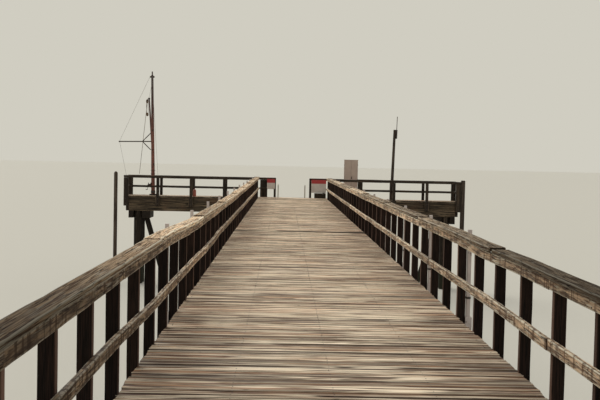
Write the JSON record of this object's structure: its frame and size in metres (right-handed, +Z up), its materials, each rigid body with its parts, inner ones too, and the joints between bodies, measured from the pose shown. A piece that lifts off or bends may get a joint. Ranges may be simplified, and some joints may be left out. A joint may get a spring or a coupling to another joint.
{
  "type": "timber jetty",
  "caption": "Railed timber walkway on pile bents running out to a narrow cross head with fascias, rails, a small hand derrick, a locker and a light pole.",
  "frame": {"origin": "centre of the bounding box's underside, at the level of the pile feet", "axes": "+Y along the walkway from the shore to the head, +X to the right of someone walking out, +Z up"},
  "size_m": [15.8028, 39, 9.5994],
  "materials": {
    "deck_boards": "weathered, worn along the middle",
    "dark_timber": "creosoted, weathered dark",
    "pile_timber": "creosoted round timber",
    "post_timber": "creosoted, weathered dark",
    "rail_timber": "weathered grey-brown",
    "upright_metal": "dull grey",
    "board_paint": "red band over off-white, matt",
    "locker_paint": "matt grey-brown",
    "pole_timber": "weathered round timber",
    "fitting_iron": "weathered dark iron",
    "red_paint": "faded red",
    "mast_paint": "red-brown paint, dull",
    "wire": "dull galvanised wire",
    "rope_and_blocks": "dark blocks with weathered rope"
  },
  "bodies": {
    "jetty": {"batter_piles": "pile_timber", "chest": "dark_timber", "crosstree": "fitting_iron", "end_fascias": "dark_timber", "far_fascia": "dark_timber", "fire_bottle": "red_paint", "gangway_boards": "board_paint", "gangway_hoops": "fitting_iron", "guard_piles": "pile_timber", "head_caps": "dark_timber", "head_deck": "deck_boards", "head_end_rails": "dark_timber", "head_joists": "dark_timber", "head_mid_rails": "dark_timber", "head_piles": "pile_timber", "head_rail_posts": "dark_timber", "head_stringers": "dark_timber", "head_top_rails": "dark_timber", "inner_stringers": "dark_timber", "left_cap_rails": "rail_timber", "left_face_rails": "rail_timber", "left_mid_rails": "rail_timber", "left_rail_posts": "post_timber", "light_pole": "pole_timber", "locker": "locker_paint", "mast": "mast_paint", "mast_bands": "fitting_iron", "mast_stays": "wire", "mast_step": "dark_timber", "near_fascia": "dark_timber", "outer_stringers": "dark_timber", "pole_lamp": "fitting_iron", "rail_uprights": "upright_metal", "right_cap_rails": "rail_timber", "right_face_rails": "rail_timber", "right_mid_rails": "rail_timber", "right_rail_posts": "post_timber", "walkway_braces": "dark_timber", "walkway_caps": "dark_timber", "walkway_deck_1": "deck_boards", "walkway_deck_2": "deck_boards", "walkway_deck_3": "deck_boards", "walkway_deck_4": "deck_boards", "walkway_deck_5": "deck_boards", "walkway_deck_6": "deck_boards", "walkway_piles": "pile_timber", "winch": "fitting_iron"},
    "boom_gear": {"gooseneck": "fitting_iron", "boom": "mast_paint", "boom_cap": "fitting_iron", "topping_lift": "wire", "boom_tackle": "rope_and_blocks", "boom_fall": "rope_and_blocks"}
  },
  "joints": [
    {"name": "boom_slew", "type": "hinge", "parent": "jetty", "child": "boom_gear", "pos_m": [-6.25403, 19.04, 5.19974], "axis": [-0.0209, 0, 0.9998], "range_deg": [-180, 0]}
  ]
}
